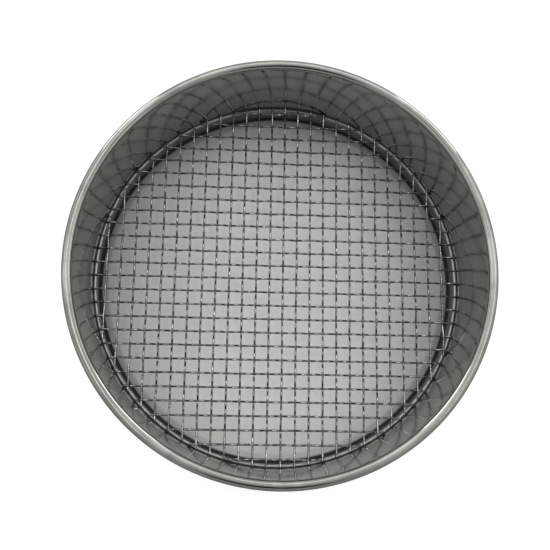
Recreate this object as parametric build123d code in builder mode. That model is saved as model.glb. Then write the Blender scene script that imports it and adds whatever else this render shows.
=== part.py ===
from build123d import *

import math
import os

# Soil sieve: a polished sheet-steel drum with a drop-in woven screen.
# Millimetres, +Z up. Origin on the drum axis at the plane the foot bead stands on.

# ---- drum dimensions ----------------------------------------------------
sheet = 0.8                 # sheet thickness
wall_r = 142.8              # inside radius of the wall above the screen
skirt_r = 140.2             # inside radius of the skirt below the screen
outer_r = 150.0             # outside radius over the rim bead
rim_z = 80.0                # height of the rim bead's centre
rim_curl_end = -118.0       # angle at which the rolled rim ends, under the bead
seat_bend = 0.9             # centreline radius of the bends at both edges of the seat
foot_curl_r = 1.6           # centreline radius of the foot bead
foot_curl_end = 120.0       # angle at which the foot bead ends
foot_flat = 0.12            # depth of the flat under the foot bead
foot_cutter = 10.0          # height of the cylinder that cuts the flat

# ---- screen dimensions --------------------------------------------------
pitch = 10.5                # wire to wire
wire_d = 1.5                # wire diameter
screen_r = 142.1            # radius the raw wire ends are cut to
weave_gap = 0.13            # play between crossing wires
screen_z = 16.5             # height of the woven screen's mid plane
seat_play = 0.06            # play between the lowest wire crowns and the seat
warp_shift = 0.36           # where the disc was cut from the cloth: offsets of the
weft_shift = 0.0            # crossings from the drum's axis, in pitches
shortest_wire = 4 * pitch   # a shorter offcut at the edge would fall out of the weave
crimp_r = 4.0               # centreline radius of each crimp
end_margin = 0.05           # a crimp's end this close to the wire's end is left out

crown = (wire_d + weave_gap) / 2                     # wire axis above or below the mid plane
seat_z = screen_z - crown - wire_d / 2 - seat_play   # top of the seat


# ---- drum ---------------------------------------------------------------
def polar(centre, radius, degrees):
    """Point at an angle on a circle in the profile plane."""
    angle = math.radians(degrees)
    return (centre[0] + radius * math.cos(angle), centre[1] + radius * math.sin(angle))


def build_drum():
    """Rim bead, wall, seat, skirt and foot bead as one revolved sheet profile."""
    half_sheet = sheet / 2
    rim_outer = (outer_r - wall_r) / 2
    rim_inner = rim_outer - sheet
    rim_centre = (outer_r - rim_outer, rim_z)

    foot_outer = foot_curl_r + half_sheet
    foot_inner = foot_outer - sheet
    foot_z = foot_outer - foot_flat
    foot_centre = (skirt_r + foot_outer, foot_z)
    foot_sweep = 180 + foot_curl_end

    # the seat steps in from the wall, with a bend up to the wall and one down to the skirt
    seat_mid_z = seat_z - half_sheet
    wall_bend_x = wall_r + half_sheet - seat_bend
    wall_bend_z = seat_mid_z + seat_bend
    skirt_bend_x = skirt_r + half_sheet + seat_bend
    skirt_bend_z = seat_mid_z - seat_bend
    bend_inner = seat_bend - half_sheet
    bend_outer = seat_bend + half_sheet

    with BuildPart() as drum:
        with BuildSketch(Plane.XZ):
            with BuildLine():
                # inside face, from the rim's free edge round the bead and down the wall
                Line(polar(rim_centre, rim_inner, rim_curl_end),
                     polar(rim_centre, rim_outer, rim_curl_end))
                CenterArc(rim_centre, rim_outer, rim_curl_end, 180 - rim_curl_end)
                Line((wall_r, rim_z), (wall_r, wall_bend_z))
                CenterArc((wall_bend_x, wall_bend_z), bend_inner, -90, 90)
                Line((wall_bend_x, seat_z), (skirt_bend_x, seat_z))
                CenterArc((skirt_bend_x, skirt_bend_z), bend_outer, 90, 90)
                Line((skirt_r, skirt_bend_z), (skirt_r, foot_z))
                CenterArc(foot_centre, foot_outer, 180, foot_sweep)
                # the foot bead's free edge, then back up on the outside face
                Line(polar(foot_centre, foot_outer, foot_curl_end),
                     polar(foot_centre, foot_inner, foot_curl_end))
                CenterArc(foot_centre, foot_inner, foot_curl_end, -foot_sweep)
                Line((skirt_r + sheet, foot_z), (skirt_r + sheet, skirt_bend_z))
                CenterArc((skirt_bend_x, skirt_bend_z), bend_inner, 180, -90)
                Line((skirt_bend_x, seat_z - sheet), (wall_bend_x, seat_z - sheet))
                CenterArc((wall_bend_x, wall_bend_z), bend_outer, -90, 90)
                Line((wall_r + sheet, wall_bend_z), (wall_r + sheet, rim_z))
                CenterArc(rim_centre, rim_inner, 180, rim_curl_end - 180)
            make_face()
        revolve(axis=Axis.Z)
        # flat under the foot bead, at z = 0
        with Locations((0, 0, -foot_cutter / 2)):
            Cylinder(outer_r, foot_cutter, mode=Mode.SUBTRACT)
    return drum.part


# ---- screen wires -------------------------------------------------------
# Each wire is crimped: straight sloping runs joined by a bend over, or under,
# every wire it crosses.
def run_slope():
    """Angle at which the straight runs climb, tangent to the crimps, by iteration."""
    slope = 0.12
    for _ in range(60):
        slope = math.atan((crown - crimp_r * (1 - math.cos(slope)))
                          / (pitch / 2 - crimp_r * math.sin(slope)))
    return slope


slope = run_slope()
crimp_half = crimp_r * math.sin(slope)    # half a crimp's length along the wire


def axis_height(s, first, sign):
    """Height of the wire's axis over the mid plane at s along the wire."""
    k = round((s - first) / pitch)
    distance = abs(s - first - k * pitch)
    side = sign * (1 if k % 2 == 0 else -1)
    if distance <= crimp_half:
        return side * (crown - crimp_r + math.sqrt(crimp_r ** 2 - distance ** 2))
    return side * math.tan(slope) * (pitch / 2 - distance)


def crimped_wire(plane, half, first, sign):
    """A wire 2 * half long along the plane's x, with crossings at first + k * pitch.

    sign is 1 if it passes over at the crossings with even k, -1 if under."""
    stops = {-half, half}
    crossing = first + math.floor((-half - first) / pitch) * pitch
    while crossing - crimp_half < half:
        for s in (crossing - crimp_half, crossing + crimp_half):
            if -half + end_margin < s < half - end_margin:
                stops.add(s)
        crossing += pitch
    stops = sorted(stops)

    with BuildPart() as wire:
        with BuildLine(plane) as axis_line:
            for a, b in zip(stops, stops[1:]):
                start, middle, end = [(s, axis_height(s, first, sign))
                                      for s in (a, (a + b) / 2, b)]
                nearest = first + round((middle[0] - first) / pitch) * pitch
                if abs(middle[0] - nearest) < crimp_half:
                    ThreePointArc(start, middle, end)
                else:
                    Line(start, end)
        path = axis_line.wires()[0]
        with BuildSketch(Plane(origin=path @ 0, z_dir=path % 0)):
            Circle(wire_d / 2)
        sweep(path=path)
    return wire.part


def half_length(offset):
    """Half the length of a wire whose far side meets the cut circle; 0 if outside it."""
    return math.sqrt(max(screen_r ** 2 - (abs(offset) + wire_d / 2) ** 2, 0))


def export_piece(piece, label):
    piece.label = label
    export_step(piece, f"parts/{label}.step")


def export_wires(name, along, across, shift, cross_shift, even_sign):
    """Parallel wires running along one axis, spaced a pitch apart across the other."""
    up = Vector(0, 0, 1)
    reach = math.ceil(screen_r / pitch)
    number = 0
    for k in range(-reach, reach + 1):
        offset = (k + shift) * pitch
        half = half_length(offset)
        if 2 * half < shortest_wire:
            continue
        number += 1
        # the plane's x runs along the wire and its y points up
        plane = Plane(origin=across * offset + up * screen_z, x_dir=along,
                      z_dir=along.cross(up))
        # neighbouring wires pass on opposite sides
        sign = even_sign if k % 2 == 0 else -even_sign
        export_piece(crimped_wire(plane, half, cross_shift * pitch, sign),
                     f"{name}_wire_{number:02d}")


os.makedirs("parts", exist_ok=True)
export_piece(build_drum(), "drum")

# warp wires run front to back, weft wires left to right
x_axis = Vector(1, 0, 0)
y_axis = Vector(0, 1, 0)
export_wires("warp", along=y_axis, across=x_axis,
             shift=warp_shift, cross_shift=weft_shift, even_sign=1)
export_wires("weft", along=x_axis, across=y_axis,
             shift=weft_shift, cross_shift=warp_shift, even_sign=-1)
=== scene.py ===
# A round sieve: a polished sheet-steel drum with a screen of crimped wires woven across it.
# It stands on the floor at z = 0 with its axis on Z. The warp wires run along Y and the weft
# wires along X. The front is towards -Y, where the camera looks down from.
import math
import random

import bmesh
import bpy
from mathutils import Matrix, Vector, noise


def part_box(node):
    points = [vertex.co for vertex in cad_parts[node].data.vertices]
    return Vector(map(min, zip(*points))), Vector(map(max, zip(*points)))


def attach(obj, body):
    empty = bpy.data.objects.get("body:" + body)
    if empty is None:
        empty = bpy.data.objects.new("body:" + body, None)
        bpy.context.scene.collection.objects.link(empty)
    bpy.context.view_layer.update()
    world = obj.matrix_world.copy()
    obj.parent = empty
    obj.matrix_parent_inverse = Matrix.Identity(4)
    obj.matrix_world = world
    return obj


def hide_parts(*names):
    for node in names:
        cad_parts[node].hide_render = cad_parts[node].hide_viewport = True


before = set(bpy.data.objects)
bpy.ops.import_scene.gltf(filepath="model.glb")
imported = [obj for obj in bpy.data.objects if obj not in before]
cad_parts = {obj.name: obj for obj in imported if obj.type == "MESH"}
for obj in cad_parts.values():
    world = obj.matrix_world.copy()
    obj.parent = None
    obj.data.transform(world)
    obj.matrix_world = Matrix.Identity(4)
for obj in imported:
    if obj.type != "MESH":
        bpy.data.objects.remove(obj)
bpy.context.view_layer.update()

MM = 0.001
scene = bpy.context.scene

# ---------------------------------------------------------- sizes (millimetres)
X, Y = 0, 1                     # axis numbers


def centre(node, axis):
    low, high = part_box(node)
    return (low[axis] + high[axis]) / 2 / MM


# from the CAD pieces
drum_low, drum_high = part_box("drum")
OUTER_R = (drum_high.x - drum_low.x) / 2 / MM       # over the rim bead
TOP_Z = drum_high.z / MM
warps = sorted(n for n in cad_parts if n.startswith("warp_wire_"))
wefts = sorted(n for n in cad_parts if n.startswith("weft_wire_"))
warp_x = [centre(node, X) for node in warps]
weft_y = [centre(node, Y) for node in wefts]
PITCH = (warp_x[-1] - warp_x[0]) / (len(warp_x) - 1)
weft_low, weft_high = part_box(wefts[len(wefts) // 2])
SCREEN_Z = (weft_low.z + weft_high.z) / 2 / MM      # mid plane of the screen
WIRE_D = (weft_high.y - weft_low.y) / MM
CROWN = (weft_high.z - weft_low.z) / 2 / MM - WIRE_D / 2    # rise of a crimped wire's axis

# the sheet's section
SHEET = 0.8                     # thickness
WALL_R = OUTER_R - 7.2          # inner face of the upper wall
SKIRT_R = WALL_R - 2.6          # inner face of the skirt under the screen
SCREEN_GAP = 0.06
SEAT_Z = SCREEN_Z - CROWN - WIRE_D / 2 - SCREEN_GAP     # top of the ledge under the screen
SEAT_BEND = 0.9                 # bend radius at the ledge, at mid thickness
BEAD_R = (OUTER_R - WALL_R) / 2
BEAD_CENTRE_R = OUTER_R - BEAD_R
BEAD_Z = TOP_Z - BEAD_R
BEAD_END = -118                 # degrees, where the curled bead's free edge lies
FOOT_R = 1.6 + SHEET / 2        # outer radius of the foot curl
FOOT_SINK = 0.12                # how much of the curl is flattened by the floor
FOOT_END = 360 + 120            # degrees, where the foot curl's free edge lies


# ---------------------------------------------------------------- shader helpers
class Value:
    """An output socket usable in arithmetic; each operation adds a node to its tree."""

    def __init__(self, tree, socket):
        self.tree = tree
        self.socket = socket

    def math(self, operation, *others):
        inputs = dict(enumerate((self, *others)))
        return shade(self.tree, "Math", inputs, operation=operation)

    def __add__(self, other):
        return self.math("ADD", other)

    def __sub__(self, other):
        return self.math("SUBTRACT", other)

    def __rsub__(self, other):
        return shade(self.tree, "Math", {0: other, 1: self}, operation="SUBTRACT")

    def __mul__(self, other):
        return self.math("MULTIPLY", other)

    def at_least(self, other):
        return self.math("MAXIMUM", other)

    def remap(self, at, to=(0.0, 1.0)):
        """Clamped linear map of the range `at` onto the range `to`."""
        return shade(self.tree, "MapRange", {
            "From Min": at[0], "From Max": at[1], "To Min": to[0], "To Max": to[1],
            "Value": self})


def new_node(tree, kind, inputs, **settings):
    node = tree.nodes.new("ShaderNode" + kind)
    for key, setting in settings.items():
        setattr(node, key, setting)
    for slot, value in inputs.items():
        if isinstance(value, Value):
            tree.links.new(value.socket, node.inputs[slot])
        else:
            node.inputs[slot].default_value = value
    return node


def shade(tree, kind, inputs={}, output=0, **settings):
    """Add a node and return one of its outputs."""
    return Value(tree, new_node(tree, kind, inputs, **settings).outputs[output])


def split(vector):
    parts = new_node(vector.tree, "SeparateXYZ", {0: vector})
    return [Value(vector.tree, socket) for socket in parts.outputs]


def combine(*parts, kind="CombineXYZ"):
    return shade(parts[0].tree, kind, dict(enumerate(parts)))


def hypotenuse(a, b):
    return (a * a + b * b).math("SQRT")


def noise_texture(vector, scale, detail, roughness=0.5, distortion=0.0):
    return shade(vector.tree, "TexNoise", {
        "Scale": scale, "Detail": detail, "Roughness": roughness, "Distortion": distortion,
        "Vector": vector}, output="Fac")


def ramp(factor, stops):
    """Colour ramp; stops are (position, rgb)."""
    node = new_node(factor.tree, "ValToRGB", {0: factor})
    elements = node.color_ramp.elements
    while len(elements) > 1:
        elements.remove(elements[-1])
    elements[0].position = stops[0][0]
    elements[0].color = (*stops[0][1], 1)
    for position, colour in stops[1:]:
        elements.new(position).color = (*colour, 1)
    return Value(factor.tree, node.outputs[0])


def grey_ramp(factor, stops):
    """Colour ramp; stops are (position, level)."""
    return ramp(factor, [(position, (level,) * 3) for position, level in stops])


def mix_colours(factor, base, over):
    return shade(factor.tree, "Mix", {0: factor, 6: base, 7: over}, output=2, data_type="RGBA")


def bump(height, strength, distance, **under):
    """Bump normal; pass Normal= to lay it over another bump."""
    inputs = {"Strength": strength, "Distance": distance, "Height": height, **under}
    return shade(height.tree, "Bump", inputs)


def scaled(tint, factor):
    return tuple(channel * factor for channel in tint)


def new_material(name):
    """Return an empty material and its object-space position."""
    material = bpy.data.materials.new(name)
    material.use_nodes = True
    material.node_tree.nodes.clear()
    return material, shade(material.node_tree, "TexCoord", output="Object")


def set_surface(material, inputs):
    tree = material.node_tree
    new_node(tree, "OutputMaterial", {0: shade(tree, "BsdfPrincipled", inputs)})


# -------------------------------------------------------------------- materials
# Lengths inside the shaders are metres.
DRUM_TINT = (0.312, 0.318, 0.294)
DRUM_WORN = (0.55, 0.55, 0.53, 1)
# colour of the painted shade in the drum's corners
DRUM_CORNER_SHADE = (0.014, 0.012, 0.010, 1)
WIRE_TINT = (0.042, 0.042, 0.040)
# colour of the painted highlights on the wires
WIRE_HIGHLIGHT = (0.98, 0.98, 0.95, 1)

ARC = 0.143                     # metres of arc per radian round the drum
# slant, skew of the cross direction, frequency along, frequency across
SCRATCHES = ((-0.22, 0.6, 42.0, 1560.0), (0.35, -0.4, 66.0, 1140.0))
# corners that get painted shade: corner radius, corner height, full within, gone beyond (mm)
SHADED_CORNERS = ((WALL_R, SEAT_Z, 0.50, 1.25), (SKIRT_R + 0.3, 0.2, 1.4, 3.2))


def scratch_mask(angle, z):
    """Fine scratches at two slants, from very stretched noise cut off high."""
    masks = []
    for slant, skew, along, across in SCRATCHES:
        u = angle * ARC + z * slant
        v = z + angle * (ARC * slant * skew)
        streaks = noise_texture(combine(u * along, v * across),
                                scale=1.0, detail=1.0, roughness=0.4)
        masks.append(streaks.remap(at=(0.70, 0.78)))
    return masks[0].at_least(masks[1])


def corner_shade_mask(radius, z, spots):
    """Painted shade in the corner over the ledge and in the corner at the foot, with a ragged
    edge.
    """
    ragged = spots.remap(at=(0.3, 0.7), to=(-0.00018, 0.00018))
    masks = []
    for corner_r, corner_z, near, far in SHADED_CORNERS:
        distance = hypotenuse(radius - corner_r * MM, z - corner_z * MM) + ragged
        masks.append(distance.remap(at=(near * MM, far * MM), to=(1.0, 0.0)))
    return masks[0].at_least(masks[1])


def drum_material():
    material, position = new_material("polished_sheet_steel")
    x, y, z = split(position)
    angle = y.math("ARCTAN2", x)
    radius = hypotenuse(x, y)

    # polishing lines: noise drawn out round the hoop and squeezed across it
    lines = noise_texture(combine(angle * 1.6, z * 900.0, radius * 900.0),
                          scale=3.0, detail=6.0, roughness=0.62)
    smear = noise_texture(position, scale=26.0, detail=5.0, roughness=0.6, distortion=0.7)
    spots = noise_texture(position, scale=420.0, detail=2.0)
    scratches = scratch_mask(angle, z)
    # painted shade: a dark matte coat in the corner over the ledge and in the corner at the foot
    corner_shade = corner_shade_mask(radius, z, spots)

    # patchy wear on the rim's crown and the foot
    rim = z.remap(at=((TOP_Z - 1.6) * MM, TOP_Z * MM))
    foot = z.remap(at=(0.0022, 0.0))
    wear = rim.at_least(foot) * smear.remap(at=(0.45, 0.62))

    steel = ramp(smear, [(0.30, scaled(DRUM_TINT, 0.90)), (0.70, scaled(DRUM_TINT, 1.10))])
    worn = mix_colours(wear * 0.35, steel, DRUM_WORN)

    # roughness: lines, smears, scratches and wear, then the regions of the drum
    rough = (lines.remap(at=(0.3, 0.7), to=(0.07, 0.12))
             + (smear.remap(at=(0.4, 0.75), to=(0.0, 0.05)) + scratches * 0.10))
    rough = rough + wear * 0.06
    wall = z.remap(at=(0.022, 0.050)) * z.remap(at=((TOP_Z - 9) * MM, (TOP_Z - 5) * MM),
                                                to=(1.0, 0.0))
    bead = z.remap(at=((TOP_Z - 7) * MM, (TOP_Z - 5) * MM))
    rough = rough + wall * 0.010 - bead * 0.045 + corner_shade * 0.6

    line_bump = bump(lines, strength=0.10, distance=0.00004)
    set_surface(material, {
        "Base Color": mix_colours(corner_shade, worn, DRUM_CORNER_SHADE),
        "Metallic": corner_shade.remap(at=(0.0, 0.8), to=(1.0, 0.0)),
        "Roughness": rough,
        "Normal": bump(spots * 0.10 - scratches, strength=0.25, distance=0.00003,
                       Normal=line_bump)})
    return material


# (crimp phase, brightness) of the painted highlight flecks; phase 0 is a crest, 0.5 a trough
FLECK_HIGHLIGHTS = (
    (0.0, 0.25), (0.06, 0.25), (0.14, 1.0), (0.20, 0.8), (0.25, 0.0),
    (0.37, 0.0), (0.42, 0.9), (0.47, 0.7), (0.55, 0.2), (0.60, 0.0),
    (0.69, 0.0), (0.75, 1.0), (0.83, 1.0), (0.90, 0.2), (1.0, 0.25))


def wire_material(name, fleck_highlight, end_highlight):
    """Dark drawn wire with painted highlights; the two numbers are the brightness of its painted
    highlight flecks and of the painted highlights on its ends.
    """
    material, position = new_material(name)
    tree = material.node_tree
    along, around, _ = split(shade(tree, "UVMap", uv_map="along"))
    crimp, crimp_around, _ = split(shade(tree, "UVMap", uv_map="crimp"))

    # die lines run along the wire
    die = noise_texture(combine(along * 120.0, around * 22.0),
                        scale=1.0, detail=4.0, roughness=0.6)
    dirt = noise_texture(position, scale=160.0, detail=5.0, roughness=0.65)
    broad = noise_texture(position, scale=35.0, detail=2.0)
    speck = noise_texture(position, scale=620.0, detail=1.0)
    soiling = dirt * 0.6 + broad * 0.4
    tint = ramp(soiling, [(0.34, scaled(WIRE_TINT, 0.55)), (0.50, WIRE_TINT),
                          (0.66, scaled(WIRE_TINT, 1.6))])
    tint = shade(tree, "VectorMath", {
        0: tint, "Scale": speck.remap(at=(0.42, 0.60), to=(0.45, 2.4))}, operation="SCALE")

    # painted highlights: pale flecks along the top of the wire (a quarter turn round it), and on
    # the ends
    fleck_highlights = grey_ramp(crimp.math("FRACT"), [(phase, level * fleck_highlight) for phase, level in FLECK_HIGHLIGHTS])
    top = (crimp_around - 0.25).math("ABSOLUTE").remap(at=(0.050, 0.090), to=(1.0, 0.0))
    x, y, _ = split(position)
    end_highlights = hypotenuse(x, y).remap(at=(0.120, 0.134), to=(0.0, end_highlight))
    patchy = speck.remap(at=(0.40, 0.54), to=(0.35, 1.0))
    painted_highlight = fleck_highlights.at_least(end_highlights) * top * patchy

    die_bump = bump(die, strength=0.5, distance=0.00003)
    set_surface(material, {
        "Base Color": mix_colours(painted_highlight, tint, WIRE_HIGHLIGHT),
        "Metallic": 1.0,
        "Roughness": (soiling.remap(at=(0.35, 0.65), to=(0.36, 0.24))
                      + die.remap(at=(0.3, 0.7), to=(-0.03, 0.05))),
        "Normal": bump(dirt, strength=0.35, distance=0.00005, Normal=die_bump)})
    return material


FLOOR_NEAR = 0.93               # floor albedo within and just round the drum
FLOOR_FAR = 0.42                # albedo further out, where the glow takes over
FLOOR_GLOW = 0.76               # glow of the far floor, seen by the camera only
WHITE = (1, 1, 1, 1)

# (place from radius 0.100 to 0.150 m, level): a dull ring, then the black contact line
FOOT_SHADOW = (
    (0.20, 1), (0.66, 0.86), (0.70, 0.60), (0.76, 0.52), (0.785, 0.05),
    (0.86, 0.05), (0.88, 1))


def floor_material():
    material, position = new_material("pale_floor")
    x, y, _ = split(position)
    radius = hypotenuse(x, y)
    grain = noise_texture(position, scale=240.0, detail=4.0, roughness=0.6)
    grain = grain.remap(at=(0.3, 0.7), to=(0.985, 1.015))

    # the ring is weaker at the front, except on the contact line
    ring = grey_ramp(radius.remap(at=(0.100, 0.150)), FOOT_SHADOW)
    weaker = (y.remap(at=(-0.135, -0.095), to=(0.45, 0.0))
              * radius.remap(at=(0.1375, 0.1385), to=(1.0, 0.0)))
    ring = mix_colours(weaker, ring, WHITE)

    # painted shade and light: inside the drum the floor darkens to left and right and at the
    # back, and is lighter in front
    sides = x.math("ABSOLUTE").remap(at=(0.045, 0.135), to=(1.0, 0.80))
    sides = sides.at_least(radius.remap(at=(0.140, 0.146)))
    back = y.remap(at=(0.070, 0.120)) * radius.remap(at=(0.112, 0.134))
    back = back.remap(at=(0.0, 1.0), to=(1.0, 0.75))
    front = y.remap(at=(-0.100, 0.010), to=(1.06, 1.0))
    level = grain * (back * front) * (sides * ring)
    level = level * radius.remap(at=(0.143, 0.150), to=(FLOOR_NEAR, FLOOR_FAR))

    camera_ray = shade(material.node_tree, "LightPath", output="Is Camera Ray")
    glow = radius.remap(at=(0.1430, 0.1470), to=(0.0, FLOOR_GLOW))
    set_surface(material, {
        "Base Color": combine(level * 0.985, level, level * 0.965, kind="CombineColor"),
        "Roughness": 0.85,
        "Specular IOR Level": 0.1,
        "Emission Color": (1.0, 1.0, 0.985, 1),
        "Emission Strength": glow * camera_ray})
    return material


# ------------------------------------------------------------------------- drum
DRUM_STEPS = 480                # even steps round the drum
SEAM = math.radians(143.0)      # where the ends of the strip meet
SEAM_STEPS = (-0.22, -0.13, -0.06, 0.06, 0.13, 0.22)    # extra sections there, degrees
SEAM_HALF_WIDTH = 0.22          # mm
SEAM_BEAD_DEPTH = 0.16          # mm, groove across the bead
SEAM_WALL_DEPTH = 0.05          # mm, groove in each face of the wall


def add_object(mesh, is_sharp, weld=False):
    """Smooth-shade the mesh except at sharp edges, and put it in the scene."""
    bm = bmesh.new()
    bm.from_mesh(mesh)
    if weld:
        bmesh.ops.remove_doubles(bm, verts=bm.verts, dist=1e-6)
    bmesh.ops.recalc_face_normals(bm, faces=bm.faces)
    for face in bm.faces:
        face.smooth = True
    for edge in bm.edges:
        if len(edge.link_faces) == 2 and is_sharp(edge):
            edge.smooth = False
    bm.to_mesh(mesh)
    bm.free()
    ob = bpy.data.objects.new(mesh.name, mesh)
    scene.collection.objects.link(ob)
    return ob


def arc(centre_r, centre_z, radius, start, end, steps):
    """Points on an arc of the section; start and end in degrees."""
    angles = [math.radians(start + (end - start) * i / steps) for i in range(steps + 1)]
    return [(centre_r + radius * math.cos(a), centre_z + radius * math.sin(a)) for a in angles]


def upright(radius, start, end, steps):
    """Points between the ends of an upright line of the section."""
    return [(radius, start + (end - start) * i / steps) for i in range(1, steps)]


def drum_profile():
    """Closed section of the sheet as (radius, height): down the inner face, up the outer."""
    half = SHEET / 2
    seat_mid = SEAT_Z - half
    wall_bend = (WALL_R + half - SEAT_BEND, seat_mid + SEAT_BEND)
    skirt_bend = (SKIRT_R + half + SEAT_BEND, seat_mid - SEAT_BEND)
    bead = (BEAD_CENTRE_R, BEAD_Z)
    foot = (SKIRT_R + FOOT_R, FOOT_R - FOOT_SINK)

    inner = arc(*bead, BEAD_R, BEAD_END, 180, 54)
    inner += upright(WALL_R, BEAD_Z, wall_bend[1], 13)
    inner += arc(*wall_bend, SEAT_BEND - half, 0, -90, 6)
    inner += arc(*skirt_bend, SEAT_BEND + half, 90, 180, 9)
    inner += upright(SKIRT_R, skirt_bend[1], foot[1], 4)
    inner += [(r, max(z, 0.0)) for r, z in arc(*foot, FOOT_R, 180, FOOT_END, 30)]

    outer = arc(*foot, FOOT_R - SHEET, FOOT_END, 180, 12)
    outer += upright(SKIRT_R + SHEET, foot[1], skirt_bend[1], 4)
    outer += arc(*skirt_bend, SEAT_BEND - half, 180, 90, 5)
    outer += arc(*wall_bend, SEAT_BEND + half, -90, 0, 8)
    outer += upright(WALL_R + SHEET, wall_bend[1], BEAD_Z, 13)
    outer += arc(*bead, BEAD_R - SHEET, 180, BEAD_END, 22)
    return inner + outer


def wall_wave(angle, z):
    """How far, in mm, the wall stands off a true cylinder."""
    x, y = math.cos(angle), math.sin(angle)
    slow = noise.noise(Vector((x * 4.2, y * 4.2, z * 0.018 + 3.1)))
    quick = noise.noise(Vector((x * 11.0, y * 11.0, z * 0.045 + 9.7)))
    return 0.16 * slow + 0.045 * quick


def shape_sheet(r, z, angle, groove):
    """Move a section point for the wall's wave and the seam's groove."""
    # the wave fades in over 6 mm above the ledge and out over 8 mm below the bead
    fade_in = max(0.0, min(1.0, (z - (SEAT_Z + 1.0)) / 6.0))
    fade_out = max(0.0, min(1.0, (BEAD_Z - z) / 8.0))
    fade = fade_in * fade_out
    new_r, new_z = r, z
    if fade > 0:
        new_r = r + fade * wall_wave(angle, z)
    if z > BEAD_Z - BEAD_R - 0.5 and r > WALL_R - 0.01:
        out_r, out_z = r - BEAD_CENTRE_R, z - BEAD_Z
        reach = math.hypot(out_r, out_z)
        if reach > BEAD_R - 0.1:            # only the outer face of the bead
            push = -SEAM_BEAD_DEPTH * groove / reach
            new_r += out_r * push
            new_z += out_z * push
    elif fade > 0:
        inward = 1 if r < WALL_R + SHEET / 2 else -1
        new_r += SEAM_WALL_DEPTH * groove * inward
    return new_r, new_z


def build_drum():
    profile = drum_profile()
    angles = sorted([2 * math.pi * i / DRUM_STEPS for i in range(DRUM_STEPS)]
                    + [SEAM + math.radians(step) for step in SEAM_STEPS])
    verts = []
    for angle in angles:
        turn = (angle - SEAM + math.pi) % (2 * math.pi) - math.pi
        groove = math.exp(-(abs(turn) * OUTER_R / SEAM_HALF_WIDTH) ** 2)
        cos, sin = math.cos(angle), math.sin(angle)
        for r, z in profile:
            r, z = shape_sheet(r, z, angle, groove)
            verts.append((r * cos * MM, r * sin * MM, z * MM))
    sections, size = len(angles), len(profile)
    faces = []
    for i in range(sections):
        j = (i + 1) % sections
        for k in range(size):
            after = (k + 1) % size
            faces.append((i * size + k, j * size + k, j * size + after, i * size + after))
    mesh = bpy.data.meshes.new("drum_sheet")
    mesh.from_pydata(verts, [], faces)
    mesh.validate()
    return add_object(mesh, lambda edge: edge.calc_face_angle(0) > math.radians(40), weld=True)


# ------------------------------------------------------------------------ wires
SIDES = 14                      # round each wire
CRIMP_STEPS = (-4.3, -3.4, -2.6, -1.8, -1.1, -0.6, 0.0,
               0.6, 1.1, 1.8, 2.6, 3.4, 4.3, PITCH / 2)     # stations about a crossing, mm
END_BEVEL = 0.10                # mm, length of the narrowed end
END_CLEAR = 0.25                # mm kept free of crimp stations at each end
END_SCALE = 0.86                # radius of the end faces against the wire's
DENT_DEPTH, DENT_WIDTH = 0.07, 0.55     # mm, where crossing wires press on each other


def wire_stations(start, end, crossings):
    stations = {start, start + END_BEVEL, end - END_BEVEL, end}
    for crossing in crossings:
        for step in CRIMP_STEPS:
            if start + END_CLEAR < crossing + step < end - END_CLEAR:
                stations.add(round(crossing + step, 4))
    return sorted(stations)


def sideways_drift(s, start, end, place, noise_at):
    """The cloth's irregularity across the wire in mm, held small at the ends."""
    drift = (0.22 * noise.noise(Vector((s * 0.021, noise_at, place * 0.01)))
             + 0.10 * noise.noise(Vector((s * 0.11, noise_at + 7, 0))))
    return drift * max(0.15, min(1.0, (s - start) / 4.0, (end - s) / 4.0))


def tube_faces(stations):
    """Quads along the tube, then its two end faces."""
    faces = []
    for i in range(stations - 1):
        here, there = i * SIDES, (i + 1) * SIDES
        for j in range(SIDES):
            k = (j + 1) % SIDES
            faces.append((here + j, here + k, there + k, there + j))
    last = (stations - 1) * SIDES
    faces.append(tuple(reversed(range(SIDES))))
    faces.append(tuple(range(last, last + SIDES)))
    return faces


def add_tube_uv(mesh, name, along, end_v):
    """UV map for tube_faces: u from the station's value, v from 0 to 1 round the wire."""
    pairs = []
    for u, next_u in zip(along, along[1:]):
        for j in range(SIDES):
            low, high = j / SIDES, (j + 1) / SIDES
            pairs += [(u, low), (u, high), (next_u, high), (next_u, low)]
    for u in (along[0], along[-1]):
        pairs += [(u, end_v)] * SIDES
    layer = mesh.uv_layers.new(name=name)
    layer.data.foreach_set("uv", [value for pair in pairs for value in pair])


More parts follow.
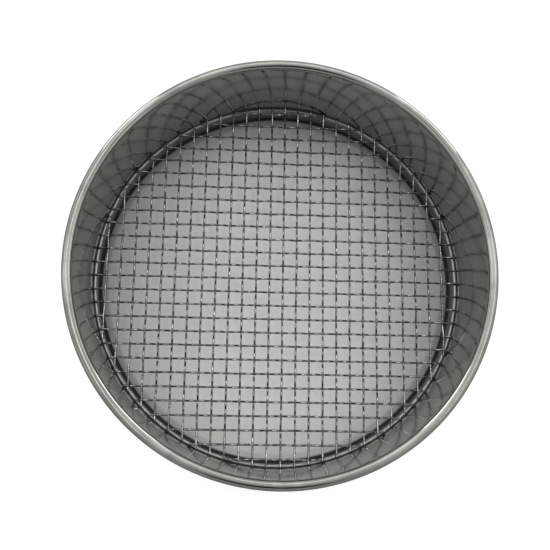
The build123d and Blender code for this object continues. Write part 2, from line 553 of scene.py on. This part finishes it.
def build_wire(node, axis, place, crossings, parity, seed):
    """A crimped wire along the axis, as a tube; parity 1 puts it over the first crossing."""
    rng = random.Random(seed)
    noise_at = rng.uniform(0, 100)
    rng.uniform(-0.10, 0.10)    # second draw of each wire's sequence; no shape depends on it
    low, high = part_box(node)
    start, end = low[axis] / MM, high[axis] / MM
    # the weave carried on for two pitches past the outermost crossings
    crossings = ([crossings[0] - PITCH * 2, crossings[0] - PITCH] + list(crossings)
                 + [crossings[-1] + PITCH, crossings[-1] + PITCH * 2])
    stations = wire_stations(start, end, crossings)

    points, nearest = [], []    # nearest: (offset from the nearest crossing, up or down there)
    for s in stations:
        k = min(range(len(crossings)), key=lambda q: abs(crossings[q] - s))
        offset = s - crossings[k]
        sign = parity if k % 2 == 0 else -parity
        nearest.append((offset, sign))
        z = SCREEN_Z + sign * CROWN * math.cos(math.pi * offset / PITCH)
        across = place + sideways_drift(s, start, end, place, noise_at)
        points.append(Vector((s, across, z) if axis == X else (across, s, z)))

    verts, lengths = [], [0.0]
    last = len(points) - 1
    for i, point in enumerate(points):
        if i:
            lengths.append(lengths[-1] + (point - points[i - 1]).length)
        tangent = (points[min(i + 1, last)] - points[max(i - 1, 0)]).normalized()
        side = tangent.cross(Vector((0, 0, 1))).normalized()
        up = side.cross(tangent).normalized()
        offset, sign = nearest[i]
        dent = DENT_DEPTH * math.exp(-(offset / DENT_WIDTH) ** 2)
        uneven = 1 + 0.012 * noise.noise(Vector((stations[i] * 0.3, noise_at, 5)))
        radius = WIRE_D / 2 * uneven * (END_SCALE if i in (0, last) else 1.0)
        for j in range(SIDES):
            angle = 2 * math.pi * j / SIDES
            rise, run = math.sin(angle), math.cos(angle)
            facing = max(0.0, -rise * sign)     # the side turned to the crossing wire
            reach = radius - dent * facing ** 3
            verts.append((point + side * (run * reach) + up * (rise * reach)) * MM)

    mesh = bpy.data.meshes.new("screen_" + node)
    mesh.from_pydata(verts, [], tube_faces(len(points)))
    add_tube_uv(mesh, "along", [length * MM for length in lengths], end_v=0.5)
    # crimp phase, a whole number at each crest; the 4 keeps it positive
    crest = 0.0 if parity > 0 else 0.5
    phases = [(s - crossings[0]) / PITCH / 2 + crest + 4.0 for s in stations]
    add_tube_uv(mesh, "crimp", phases, end_v=0.75)
    return add_object(mesh, lambda edge: any(len(f.verts) > 4 for f in edge.link_faces))


def lay_wires(nodes, axis, material, places, counts, crossings, first_cross, even_sign, seed):
    """Build one set of wires; even_sign is the parity where the two counts add up even."""
    for i, (node, place) in enumerate(zip(nodes, places)):
        parity = even_sign if (counts[i] + first_cross) % 2 == 0 else -even_sign
        ob = build_wire(node, axis, place, crossings, parity, seed + i)
        ob.data.materials.append(material)
        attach(ob, "screen")
        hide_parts(node)


steel = drum_material()
# the two numbers below are the brightness of the painted highlight flecks and of the painted
# highlights on the ends
warp_wire = wire_material("drawn_wire_warp", fleck_highlight=1.0, end_highlight=0.80)
weft_wire = wire_material("drawn_wire_weft", fleck_highlight=0.7, end_highlight=0.25)

drum = build_drum()
drum.data.materials.append(steel)
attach(drum, "frame")
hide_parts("drum")

# a warp wire goes over every weft wire whose count is even or odd like its own
WARP_SHIFT = 0.36               # the warp grid's shift from x = 0, in pitches
warp_counts = [round(x / PITCH - WARP_SHIFT) for x in warp_x]
weft_counts = [round(y / PITCH) for y in weft_y]
lay_wires(warps, Y, warp_wire, warp_x, warp_counts, crossings=weft_y,
          first_cross=weft_counts[0], even_sign=1, seed=100)
lay_wires(wefts, X, weft_wire, weft_y, weft_counts, crossings=warp_x,
          first_cross=warp_counts[0], even_sign=-1, seed=300)

# ------------------------------------------------------------------------ floor
bm = bmesh.new()
bmesh.ops.create_circle(bm, cap_ends=True, segments=96, radius=6.0)
floor_mesh = bpy.data.meshes.new("floor")
bm.to_mesh(floor_mesh)
bm.free()
floor = bpy.data.objects.new("floor", floor_mesh)
scene.collection.objects.link(floor)
floor.data.materials.append(floor_material())

# --------------------------------------------------------------- lights (metres)
AIM_Z = 0.06                    # height the panels face
STRIP_LEVEL = 2.2
STRIP_SIZE = (0.50, 0.04)
# name, location, target: lamp strips over the drum, to left and right
STRIPS = (
    ("left_strip", (-0.17, 0.06, 0.44), (-0.08, 0.06, 0.05)),
    ("right_strip", (0.30, 0.06, 0.40), (0.10, 0.06, 0.05)))
# name, azimuth and elevation in degrees, distance, width, height, level
PANELS = (
    ("right_side", 15, 38, 1.6, 0.30, 0.5, 0.5),
    ("left_side", 168, 38, 1.6, 0.30, 0.5, 0.5),
    ("back_right", 50, 13, 1.8, 0.60, 0.75, 3.2),
    ("back_left", 129, 13, 1.8, 0.60, 0.75, 3.2),
    ("back_top", 90, 52, 1.8, 1.5, 0.7, 0.9))


def soft_box(name, location, target, width, height, level):
    """Area light hidden from the camera; its power grows with its area."""
    light = bpy.data.lights.new(name, "AREA")
    light.shape = "RECTANGLE"
    light.size, light.size_y = width, height
    light.energy = level * math.pi * width * height
    ob = bpy.data.objects.new(name, light)
    ob.location = location
    aim = Vector(target) - Vector(location)
    ob.rotation_euler = aim.to_track_quat("-Z", "Y").to_euler()
    ob.visible_camera = False
    scene.collection.objects.link(ob)


for name, location, target in STRIPS:
    soft_box(name, location, target, *STRIP_SIZE, STRIP_LEVEL)
for name, azimuth, elevation, distance, width, height, level in PANELS:
    azimuth, elevation = math.radians(azimuth), math.radians(elevation)
    location = (distance * math.cos(elevation) * math.cos(azimuth),
                distance * math.cos(elevation) * math.sin(azimuth),
                AIM_Z + distance * math.sin(elevation))
    soft_box(name, location, (0, 0, AIM_Z), width, height, level)

# ------------------------------------------------------------------------ world
ROOM_FRONT, ROOM_BACK = 0.52, 0.98      # brightness of the room
BAND_DEPTH = 0.35               # contrast of the overhead bands
BAND_AT, BAND_STEP = 10.0, 38.0         # degrees from overhead towards the back
PATCH_DIRECTION = Vector((0.02, -0.58, 0.81)).normalized()
PATCH_EDGE = (math.cos(math.radians(18)), math.cos(math.radians(11)))
PATCH_DEPTH = 0.95


def build_world():
    """A pale banded room with a dark patch where the camera is; the camera sees white."""
    world = bpy.data.worlds.new("studio")
    scene.world = world
    world.use_nodes = True
    tree = world.node_tree
    tree.nodes.clear()
    direction = shade(tree, "TexCoord", output="Generated")
    _, y, z = split(direction)
    level = y.remap(at=(-0.65, 0.35), to=(ROOM_FRONT, ROOM_BACK))

    tilt = y.math("ARCTAN2", z)
    bands = ((tilt - math.radians(BAND_AT)) * (360.0 / BAND_STEP)).math("COSINE")
    overhead = z.remap(at=(0.30, 0.60), to=(0.0, BAND_DEPTH))
    level = level * (bands * overhead + 1.0)

    toward = shade(tree, "VectorMath", {0: direction, 1: PATCH_DIRECTION},
                   output="Value", operation="DOT_PRODUCT")
    level = level * (1.0 - toward.remap(at=PATCH_EDGE) * PATCH_DEPTH)

    colour = combine(level, level, level * 0.985, kind="CombineColor")
    room = shade(tree, "Background", {0: colour, 1: 1.0})
    seen = shade(tree, "Background", {0: (1.0, 1.0, 0.99, 1), 1: 1.0})
    camera_ray = shade(tree, "LightPath", output="Is Camera Ray")
    mixed = shade(tree, "MixShader", {0: camera_ray, 1: room, 2: seen})
    new_node(tree, "OutputWorld", {0: mixed})


build_world()

# ----------------------------------------------------------------------- camera
# the camera's own axes in the scene
CAMERA_RIGHT = (0.99820, 0.01615, 0.05769)
CAMERA_UP = (-0.02605, 0.98418, 0.17527)
CAMERA_BACK = (-0.05395, -0.17646, 0.98283)

lens = bpy.data.cameras.new("camera")
camera = bpy.data.objects.new("camera", lens)
scene.collection.objects.link(camera)
lens.sensor_width = 36.0        # mm
lens.lens = 42.349091           # mm
lens.clip_start, lens.clip_end = 0.01, 20
camera.rotation_mode = "QUATERNION"
axes = Matrix((CAMERA_RIGHT, CAMERA_UP, CAMERA_BACK)).transposed()
camera.rotation_quaternion = axes.to_quaternion()
camera.location = (-0.02982, -0.08614, 0.51459)
scene.camera = camera
scene.view_settings.view_transform = "Standard"
scene.view_settings.look = "None"
scene.view_settings.exposure = 0.0
